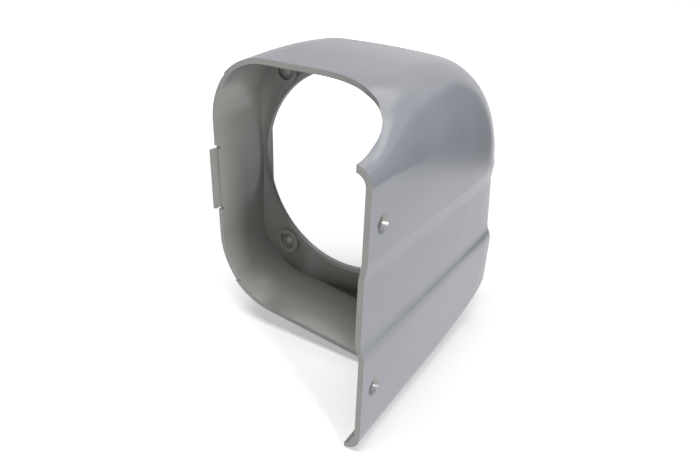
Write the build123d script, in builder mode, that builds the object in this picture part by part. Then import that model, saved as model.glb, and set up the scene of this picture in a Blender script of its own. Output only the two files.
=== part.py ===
"""Lamp housing of a small vehicle: one injection moulded shell, open at the back.

The round lamp opening looks forward along -Y, and the open back faces +Y.
The long side panel lies on -X and carries the two screws that fix the housing.
Origin: centre of the lamp opening, in the front plane of its bore. +Z is up.
"""

import math
import os
from collections import namedtuple

from build123d import *

# --- walls and lamp opening ---
wall = 2.7
lamp_radius = 56.0  # bore that the lamp passes through
collar_wall = 2.5  # thickness of the ring round the bore
collar_depth = 2.5  # bore length, front plane to rear edge of the ring
mouth_radius = 106.0  # the funnel would grow to this at the raked front

# --- outline across the housing, seen from the back ---
height = 165.5  # top corner to underside corner, before the corners are rounded
top_z = 0.423 * height  # highest corner above the lamp axis
bottom_z = top_z - height  # lowest corner, at the panel's curl
side_x = 64.5  # short side wall, outer face at its rim
side_draft = 3.0  # the short side stands this much further in beside the lamp
panel_x = 64.4  # long side panel, outer face of its upper band
panel_tuck = 2.5  # the panel turns in by this much at the front lip
flute_inset = 1.2  # the middle band of the panel lies deeper by this much
lower_band_out = 1.0  # the lower band stands proud of the upper one
flute_top = 3.0  # height where the upper step of the flute starts
flute_top_step = 8.0  # height that the upper step takes
flute_bottom = -36.5  # height where the lower step starts
flute_bottom_step = 5.5  # height that the lower step takes
flute_round = 12.0
under_z = -77.5  # underside at the short side
top_side_radius = 37.0
under_side_radius = 41.0
panel_curl_radius = 9.0  # corner between panel and underside

# --- depths along the lamp axis, +Y is towards the open back ---
depth = 147.0  # rear end of the panel to the front lip beside it
panel_rear_y = 85.0
lip_panel_y = panel_rear_y - depth  # front lip at the panel
lip_side_y = -3.0  # front lip at the short side
rim_y = 37.6  # rim of the top and the underside
side_rim_setback = 1.5  # the rim of the short side lies this much deeper
side_rim_top_z = 52.0
side_rim_low_z = -69.0
notch_corner_x = -22.5  # the upper rim turns back towards the panel here
notch_high_z = 70.0  # the cut's plan is set at this height and at the lower one
notch_high_y = 62.5  # depth where the sloping rim would meet the horn up here
notch_low_z = 32.0
notch_low_y = 48.0  # and down here
notch_round = 60.0
horn_round = 31.0
horn_x = 55.3  # the curled upper edge of the panel reaches in to here at its root
horn_tip_x = 57.3  # and to here at its tip
curl_x = 57.5  # the curled lower edge of the panel reaches in to here
curl_meet_y = 31.0  # depth where the lower rim would meet that curl
curl_round = 9.0

# --- fixing ---
screw_y = 75.0
screw_high_z = 17.0
screw_low_z = -62.0
screw_hole = 5.0
screw_sink = 8.8
sink_start = 0.5  # the countersink's cone starts this far outside the panel
screw_pad_od = 11.0  # pad behind the panel round each screw
screw_pad = 2.0  # the pads stand this far in from the panel
boss_x = 40.5
boss_high_z = 51.0
boss_low_z = -52.0
boss_od = 15.0
boss_rear_y = 4.0
cup_diameter = 10.5  # round recess in the rear face of each boss
cup_depth = 1.6
dome_radius = 4.5  # the floor of each recess carries a dome
dome_rise = 1.8
ledge_drop = 1.0  # the ledge beside the upper boss lies this much below its face
ledge_tip_x = 58.0
ledge_tip_z = 13.0
web_depth = 20.0  # bosses and ledge are carried this far forward into the funnel
tab_top_z = 10.5
tab_length = 34.5
tab_reach = 2.4  # the tab stands this far behind the rim
tab_thickness = 1.6
tab_relief = 1.5  # small notches beside the tab, this wide and deep

reach = 100.0  # cutting tools run this far past the shell

# A station is one cut across the housing: its place along Y, and where its corners lie.
# side and panel are how far out the two sides stand, and lean is how far the panel
# leans in towards the top. top_side and top_panel are the heights of the top's two
# corners, shoulder is where the panel's flat ends below, and under is the lower corner.
Station = namedtuple("Station", "y side panel lean top_side top_panel shoulder under")


def station_at(y, draft, tuck, lean, top_side, top_panel, shoulder, under):
    """A station from shares of the named sizes: draft, tuck, width and heights."""
    return Station(
        y,
        side_x - draft * side_draft,
        panel_x - tuck * panel_tuck,
        lean * panel_x,
        top_side * top_z,
        top_panel * top_z,
        shoulder * top_z,
        under * bottom_z,
    )


stations = [
    station_at(panel_rear_y + 0.04 * depth, 0.0, 0.0, 0.000, 0.830, 0.585, 0.471, 1.000),
    station_at(panel_rear_y - 0.05 * depth, 0.0, 0.0, 0.000, 0.835, 0.597, 0.471, 0.995),
    station_at(panel_rear_y - 0.13 * depth, 0.0, 0.0, 0.000, 0.843, 0.693, 0.471, 0.990),
    station_at(panel_rear_y - 0.21 * depth, 0.0, 0.0, 0.000, 0.864, 0.800, 0.471, 0.985),
    station_at(rim_y, 0.0, 0.0, 0.000, 0.897, 0.869, 0.471, 0.980),
    station_at(rim_y / 2, 0.5, 0.0, 0.000, 0.950, 0.883, 0.464, 0.974),
    station_at(0.0, 1.0, 0.0, 0.000, 0.986, 0.886, 0.457, 0.963),
    station_at(0.40 * lip_panel_y, 1.3, 0.0, 0.008, 1.000, 0.864, 0.400, 0.937),
    station_at(0.77 * lip_panel_y, 2.0, 0.0, 0.054, 0.979, 0.814, 0.171, 0.890),
    station_at(1.13 * lip_panel_y, 2.7, 1.0, 0.140, 0.943, 0.743, 0.071, 0.827),
]


def outline(station, inset):
    """Closed outline of the shell at one station, moved inwards by inset."""
    side = station.side - inset
    top = station.top_panel - inset
    low = flute_bottom - flute_bottom_step

    def panel_at(height, out=0.0):
        """Place on the panel at a height, moved out from its upper band."""
        share = (height - low) / (top - low)
        return (-station.panel + station.lean * max(share, 0.0) + inset - out, height)

    corners = [
        ((side, station.top_side - inset), top_side_radius - inset),
        (panel_at(top), station.top_panel - station.shoulder - inset),
        (panel_at(flute_top), flute_round),
        (panel_at(flute_top - flute_top_step, -flute_inset), flute_round),
        (panel_at(flute_bottom, -flute_inset), flute_round),
        (panel_at(low, lower_band_out), flute_round),
        (panel_at(station.under + inset, lower_band_out), panel_curl_radius - inset),
        ((side, under_z + inset), under_side_radius - inset),
    ]
    with BuildSketch(Plane.XZ.offset(-station.y)) as across:
        with BuildLine():
            Polyline(*[point for point, _ in corners], close=True)
        make_face()
        for point, radius in corners:
            fillet(across.vertices().sort_by_distance(point)[0], radius)
    return across.sketch


with BuildPart() as envelope:
    for station in stations:
        add(outline(station, 0))
    loft()

with BuildPart() as core:
    for station in stations:
        add(outline(station, wall))
    loft()

# The front lip lies in a raked plane, further back at the short side. The funnel flares
# from the collar towards it: almost flat on the short side, deep beside the panel.
rake = math.degrees(math.atan2(lip_side_y - lip_panel_y, side_x + panel_x))
raked_front = Plane(
    origin=(0, (lip_side_y + lip_panel_y) / 2, 0),
    x_dir=(math.cos(math.radians(rake)), math.sin(math.radians(rake)), 0),
    z_dir=(math.sin(math.radians(rake)), -math.cos(math.radians(rake)), 0),
)
with BuildPart() as front_void:
    with BuildSketch(Plane.XZ):
        Circle(lamp_radius)
    with BuildSketch(raked_front):
        Circle(mouth_radius)
    loft(ruled=True)

with BuildPart() as funnel:
    with BuildSketch(Plane.XZ.offset(-collar_depth)):
        Circle(lamp_radius + collar_wall)
    with BuildSketch(raked_front.offset(-wall)):
        Circle(mouth_radius + wall)
    loft(ruled=True)
    with BuildSketch(Plane.XZ.offset(-reach)):
        Circle(lamp_radius)
    extrude(amount=reach, mode=Mode.SUBTRACT)
    add(front_void.part, mode=Mode.SUBTRACT)
    add(envelope.part, mode=Mode.INTERSECT)

# Two bosses on the funnel's rear face, each with a domed cup. The upper one stands
# beside a ledge.
with BuildPart() as webs:
    with BuildSketch(Plane.XZ.offset(-boss_rear_y)):
        with Locations((boss_x, boss_high_z), (boss_x, boss_low_z)):
            Circle(boss_od / 2)
    extrude(amount=web_depth)
    with BuildSketch(Plane.XZ.offset(ledge_drop - boss_rear_y)):
        with BuildLine():
            Polyline(
                (boss_x, boss_high_z),
                (ledge_tip_x, ledge_tip_z),
                (reach, ledge_tip_z),
                (reach, reach),
                (boss_x, reach),
                close=True,
            )
        make_face()
    extrude(amount=web_depth)
    with BuildSketch(Plane.XZ.offset(-boss_rear_y)):
        with Locations((boss_x, boss_high_z), (boss_x, boss_low_z)):
            Circle(cup_diameter / 2)
    extrude(amount=cup_depth, mode=Mode.SUBTRACT)
    dome_y = boss_rear_y - cup_depth + dome_rise - dome_radius
    with Locations((boss_x, dome_y, boss_high_z), (boss_x, dome_y, boss_low_z)):
        Sphere(dome_radius)
    add(front_void.part, mode=Mode.SUBTRACT)
    add(envelope.part, mode=Mode.INTERSECT)

# Thin tab left standing on the outer half of the short side's rim.
with BuildPart() as tab:
    with BuildSketch(Plane.YZ.offset(side_x - tab_thickness)):
        with Locations((rim_y + tab_reach, tab_top_z)):
            Rectangle(2 * side_rim_setback + tab_reach, tab_length, align=Align.MAX)
    extrude(amount=tab_thickness)
    add(envelope.part, mode=Mode.INTERSECT)

with BuildPart() as housing:
    add(envelope.part)
    add(core.part, mode=Mode.SUBTRACT)
    add(funnel.part)
    add(webs.part)
    # Seen from above, the rear edge of the top slopes back to the horn on the panel.
    # The cut leans forward on its way down, so it stays square to the sloping wall.
    for height, meet_y in ((notch_high_z, notch_high_y), (notch_low_z, notch_low_y)):
        flare = (horn_x - horn_tip_x) / (panel_rear_y - meet_y)
        with BuildSketch(Plane.XY.offset(height)) as above:
            with BuildLine():
                Polyline(
                    (reach, rim_y),
                    (notch_corner_x, rim_y),
                    (-horn_x, meet_y),
                    (flare * reach - horn_x, meet_y + reach),
                    (reach, meet_y + reach),
                    close=True,
                )
            make_face()
            fillet(above.vertices().sort_by_distance((notch_corner_x, rim_y))[0], notch_round)
            fillet(above.vertices().sort_by_distance((-horn_x, meet_y))[0], horn_round)
    loft(ruled=True, mode=Mode.SUBTRACT)
    # Seen from below, it runs straight across and then along the panel's curl.
    with BuildSketch(Plane.XY.offset(notch_low_z)) as below:
        with BuildLine():
            Polyline(
                (reach, rim_y),
                (side_x, rim_y),
                (-curl_x, curl_meet_y),
                (-curl_x, panel_rear_y + reach),
                (reach, panel_rear_y + reach),
                close=True,
            )
        make_face()
        fillet(below.vertices().sort_by_distance((-curl_x, curl_meet_y))[0], curl_round)
    extrude(amount=-2 * reach, mode=Mode.SUBTRACT)
    # The rim of the short side lies deeper between two small steps.
    with BuildSketch(Plane.YZ.offset(boss_x)) as setback:
        with Locations((rim_y - side_rim_setback, side_rim_low_z)):
            Rectangle(reach, side_rim_top_z - side_rim_low_z, align=Align.MIN)
        for z in (tab_top_z, tab_top_z - tab_length - tab_relief):
            with Locations((rim_y - side_rim_setback - tab_relief, z)):
                Rectangle(reach, tab_relief, align=Align.MIN)
    extrude(amount=reach, mode=Mode.SUBTRACT)
    add(tab.part)
    # Rear end of the panel.
    with BuildSketch(Plane.XZ.offset(-panel_rear_y)):
        Rectangle(3 * reach, 3 * reach)
    extrude(amount=-reach, mode=Mode.SUBTRACT)
    # Everything ahead of the raked front lip goes.
    with BuildSketch(raked_front):
        Rectangle(3 * reach, 3 * reach)
    extrude(amount=reach, mode=Mode.SUBTRACT)
    # Two countersunk screw holes near the rear end of the panel, each through a pad.
    for x, z in ((panel_x, screw_high_z), (panel_x + lower_band_out, screw_low_z)):
        with BuildSketch(Plane.YZ.offset(wall / 2 - x)):
            with Locations((screw_y, z)):
                Circle(screw_pad_od / 2)
        extrude(amount=wall / 2 + screw_pad)
        with Locations(Plane(origin=(-x - sink_start, screw_y, z), z_dir=(-1, 0, 0))):
            CounterSinkHole(screw_hole / 2, screw_sink / 2 + sink_start, 4 * wall, 90)
housing.part.label = "housing"

os.makedirs("parts", exist_ok=True)
export_step(housing.part, "parts/housing.step")
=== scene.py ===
"""Looks for the lamp housing: satin silver-grey moulding in a plain white studio."""

import math

import bpy
from mathutils import Matrix, Vector


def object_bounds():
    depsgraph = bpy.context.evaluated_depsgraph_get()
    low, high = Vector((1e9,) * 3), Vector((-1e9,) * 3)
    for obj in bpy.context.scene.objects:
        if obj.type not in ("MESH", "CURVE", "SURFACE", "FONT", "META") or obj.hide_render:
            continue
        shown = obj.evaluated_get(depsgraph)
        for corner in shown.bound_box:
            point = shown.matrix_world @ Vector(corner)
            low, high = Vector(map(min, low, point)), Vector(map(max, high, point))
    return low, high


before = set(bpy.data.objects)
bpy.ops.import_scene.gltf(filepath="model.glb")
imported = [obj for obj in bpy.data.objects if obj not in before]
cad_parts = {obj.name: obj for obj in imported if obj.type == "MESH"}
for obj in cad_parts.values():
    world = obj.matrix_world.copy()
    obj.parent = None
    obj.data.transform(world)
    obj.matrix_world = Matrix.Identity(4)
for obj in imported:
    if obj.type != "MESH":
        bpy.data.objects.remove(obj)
cad_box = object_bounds()
scene = bpy.context.scene
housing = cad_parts["housing"]

# Base colours of the plastic, and how rough it is, give or take its grain. The inner grey is a
# painted warm, lighter tint for the light inside the shell, and the outer grey a painted bluish
# tint for the reflections outside.
INNER_GREY_PAINTED_WARM = (0.29, 0.29, 0.275, 1.0)
OUTER_GREY_PAINTED_BLUE = (0.25, 0.26, 0.29, 1.0)
ROUGHNESS, ROUGHNESS_GRAIN = 0.22, 0.02

WHITE = (1.0, 1.0, 1.0, 1.0)
PAPER = (0.80, 0.80, 0.80, 1.0)
CLOTH = (0.03, 0.035, 0.04, 1.0)

# The floor lies just under the housing.
FLOOR_Z = cad_box[0][2] - 0.0005
FLOOR_SIZE = 8.0

# The flag stands upright in front of the side panel.
FLAG_PLACE = (-0.312, -0.195, FLOOR_Z + 0.165)
FLAG_TURN = math.radians(-40.6)
FLAG_WIDTH, FLAG_HEIGHT = 0.57, 0.33

# The world's strength as light, and in reflections. The camera sees it white.
AMBIENT, REFLECTED = 0.08, 0.8

# The camera's angles and place, solved from the photograph.
TURN, LIFT, ROLL = (math.radians(angle) for angle in (32.19, 26.19, 2.45))
EYE = Vector((-0.15594, 0.24391, 0.10655))
SENSOR = 36.0
LENS = 560.0 / 700.0 * SENSOR


# --- small helpers -----------------------------------------------------------------
class Nodes:
    """Adds shader nodes to one tree and links them."""

    def __init__(self, tree):
        self.tree = tree
        tree.nodes.clear()

    def add(self, kind, inputs=None, **settings):
        """A new node of this kind. An input is a value, or the socket that feeds it."""
        node = self.tree.nodes.new("ShaderNode" + kind)
        for name, value in settings.items():
            setattr(node, name, value)
        for name, value in (inputs or {}).items():
            if isinstance(value, bpy.types.NodeSocket):
                self.tree.links.new(value, node.inputs[name])
            else:
                node.inputs[name].default_value = value
        return node

    def math(self, operation, a, b=0.0):
        return self.add("Math", {0: a, 1: b}, operation=operation).outputs[0]

    def ramp(self, value, low, high, out_low=0.0, out_high=1.0):
        """Smooth step from out_low to out_high as value goes from low to high."""
        inputs = {0: value, 1: low, 2: high, 3: out_low, 4: out_high}
        return self.add("MapRange", inputs, interpolation_type="SMOOTHSTEP").outputs[0]


def new_material(name):
    """A new material and the helper for its nodes."""
    material = bpy.data.materials.new(name)
    material.use_nodes = True
    return material, Nodes(material.node_tree)


def staged_plane(name, size, place):
    """A square on the stage, apart from the model."""
    bpy.ops.mesh.primitive_plane_add(size=size, location=place)
    plane = bpy.context.object
    plane.name = name
    return plane


# --- moulded plastic ---------------------------------------------------------------
def moulded_plastic():
    """Satin silver-grey plastic, with painted light: a painted bluish tint outside for the
    reflections, a painted warmer tint inside the shell for the light there.
    """
    material, n = new_material("moulded_plastic")
    geometry = n.add("NewGeometry")
    where = geometry.outputs["Position"]
    x, _, z = n.add("SeparateXYZ", {0: where}).outputs
    normal_x, normal_y, normal_z = n.add("SeparateXYZ", {0: geometry.outputs["Normal"]}).outputs

    # Inner faces look back towards the lamp axis, or out of the open back. They get the painted
    # warm tint, and the outer faces the painted bluish tint.
    outward = n.math("ADD", n.math("MULTIPLY", x, normal_x), n.math("MULTIPLY", z, normal_z))
    not_rear = n.ramp(normal_y, 0.35, 0.5, 1.0, 0.0)
    outer = n.math("MULTIPLY", n.ramp(outward, -0.004, 0.006), not_rear)
    front = n.ramp(n.math("MULTIPLY", normal_y, -1.0), 0.02, 0.08)
    painted_tint_mask = n.math("MAXIMUM", outer, front)

    cloud = n.add("TexNoise", {"Vector": where, "Scale": 28.0, "Detail": 3.0, "Roughness": 0.5})
    grain = n.add("TexNoise", {"Vector": where, "Scale": 2600.0, "Detail": 2.0})
    tone = n.ramp(cloud.outputs[0], 0.3, 0.7, 0.97, 1.03)
    # Sockets 6 and 7 are the two colours of a Mix node, and its output 2 is the mixed one.
    # Painted light: the mask mixes the painted warm inner grey and the painted bluish outer
    # grey.
    grey_with_painted_tint = n.add("Mix", {0: painted_tint_mask, 6: INNER_GREY_PAINTED_WARM, 7: OUTER_GREY_PAINTED_BLUE}, data_type="RGBA").outputs[2]
    tinted = n.add("VectorMath", {0: grey_with_painted_tint, "Scale": tone}, operation="SCALE")
    spread = n.ramp(grain.outputs[0], 0.3, 0.7, -ROUGHNESS_GRAIN, ROUGHNESS_GRAIN)
    relief = n.add("Bump", {"Strength": 0.05, "Distance": 0.0001, "Height": grain.outputs[0]})
    shader = n.add(
        "BsdfPrincipled",
        {
            "Base Color": tinted.outputs[0],
            "Roughness": n.math("ADD", ROUGHNESS, spread),
            "IOR": 1.62,
            "Normal": relief.outputs[0],
        },
    )
    n.add("OutputMaterial", {0: shader.outputs[0]})
    return material


housing.data.materials.clear()
housing.data.materials.append(moulded_plastic())


# --- floor -------------------------------------------------------------------------
def white_floor():
    """White paper. It fades to plain white away from the housing, and in reflections."""
    material, n = new_material("white_floor")
    path = n.add("LightPath").outputs
    place = n.add("NewGeometry").outputs["Position"]
    away = n.add("VectorMath", {0: place}, operation="LENGTH").outputs["Value"]
    matt = n.add("BsdfDiffuse", {"Color": PAPER})
    bright = n.math("MULTIPLY", path["Is Camera Ray"], n.ramp(away, 0.2, 0.9, 0.35, 1.0))
    glow = n.add("Emission", {"Strength": bright})
    lit = n.add("AddShader", {0: matt.outputs[0], 1: glow.outputs[0]})
    white = n.add("Emission", {"Strength": 1.0})
    both = n.add("MixShader", {0: path["Is Glossy Ray"], 1: lit.outputs[0], 2: white.outputs[0]})
    n.add("OutputMaterial", {0: both.outputs[0]})
    return material


floor = staged_plane("floor", FLOOR_SIZE, (0.0, 0.0, FLOOR_Z))
floor.data.materials.append(white_floor())


# --- flag --------------------------------------------------------------------------
def black_cloth():
    material, n = new_material("black_cloth")
    dark = n.add("BsdfDiffuse", {"Color": CLOTH})
    n.add("OutputMaterial", {0: dark.outputs[0]})
    return material


# Only reflections see the flag. It gives the rounded edge above the panel its dark band.
flag = staged_plane("flag", 1.0, FLAG_PLACE)
flag.rotation_euler = (math.radians(90.0), 0.0, FLAG_TURN)
flag.scale = (FLAG_WIDTH, FLAG_HEIGHT, 1.0)
for ray in ("camera", "diffuse", "transmission", "volume_scatter", "shadow"):
    setattr(flag, "visible_" + ray, False)
flag.data.materials.append(black_cloth())

# --- light -------------------------------------------------------------------------
world = bpy.data.worlds.new("studio")
scene.world = world
world.use_nodes = True
n = Nodes(world.node_tree)
path = n.add("LightPath").outputs
reflected = n.math("MULTIPLY", path["Is Glossy Ray"], REFLECTED)
seen = n.math("MAXIMUM", path["Is Camera Ray"], reflected)
strength = n.math("MAXIMUM", seen, AMBIENT)
around = n.add("Background", {"Color": WHITE, "Strength": strength})
n.add("OutputWorld", {0: around.outputs[0]})


def softbox(name, spot, width, height, watts, mirrored=True):
    """Area lamp at spot, aimed at the housing. Reflections can leave it out."""
    data = bpy.data.lights.new(name, "AREA")
    data.shape = "RECTANGLE"
    data.size = width
    data.size_y = height
    data.energy = watts
    lamp = bpy.data.objects.new(name, data)
    lamp.location = spot
    lamp.rotation_euler = (-Vector(spot)).to_track_quat("-Z", "Y").to_euler()
    lamp.visible_glossy = mirrored
    scene.collection.objects.link(lamp)


# The side box shines past the panel's rear edge, along the rim half of the inner wall.
softbox("side_box", (-1.37, 0.71, 0.34), 0.17, 0.8, 16.5)
softbox("top_box", (0.0, 0.42, 1.52), 1.0, 0.5, 15.0)
softbox("front_box", (0.25, -0.8, 1.35), 0.9, 0.9, 3.6)
softbox("crown_box", (-0.5, -0.6, 1.4), 0.5, 0.5, 2.0)
# These two light the sides that the photograph hides. Reflections leave them out, because
# the low box would whiten the edge of the top.
softbox("right_box", (1.5, 0.1, 0.5), 0.9, 0.9, 4.0, mirrored=False)
softbox("low_box", (0.3, -1.55, 0.25), 0.9, 0.5, 4.0, mirrored=False)

# --- camera ------------------------------------------------------------------------
back = Vector(
    (-math.sin(TURN) * math.cos(LIFT), math.cos(TURN) * math.cos(LIFT), math.sin(LIFT))
)
level = Vector((-math.cos(TURN), -math.sin(TURN), 0.0))
rise = back.cross(level)
right = math.cos(ROLL) * level + math.sin(ROLL) * rise
up = back.cross(right)
data = bpy.data.cameras.new("camera")
data.lens = LENS
data.sensor_width = SENSOR
data.clip_start = 0.01
camera = bpy.data.objects.new("camera", data)
turned = Matrix((right, up, back)).transposed().to_4x4()
camera.matrix_world = Matrix.Translation(EYE) @ turned
scene.collection.objects.link(camera)
scene.camera = camera
scene.view_settings.view_transform = "Standard"
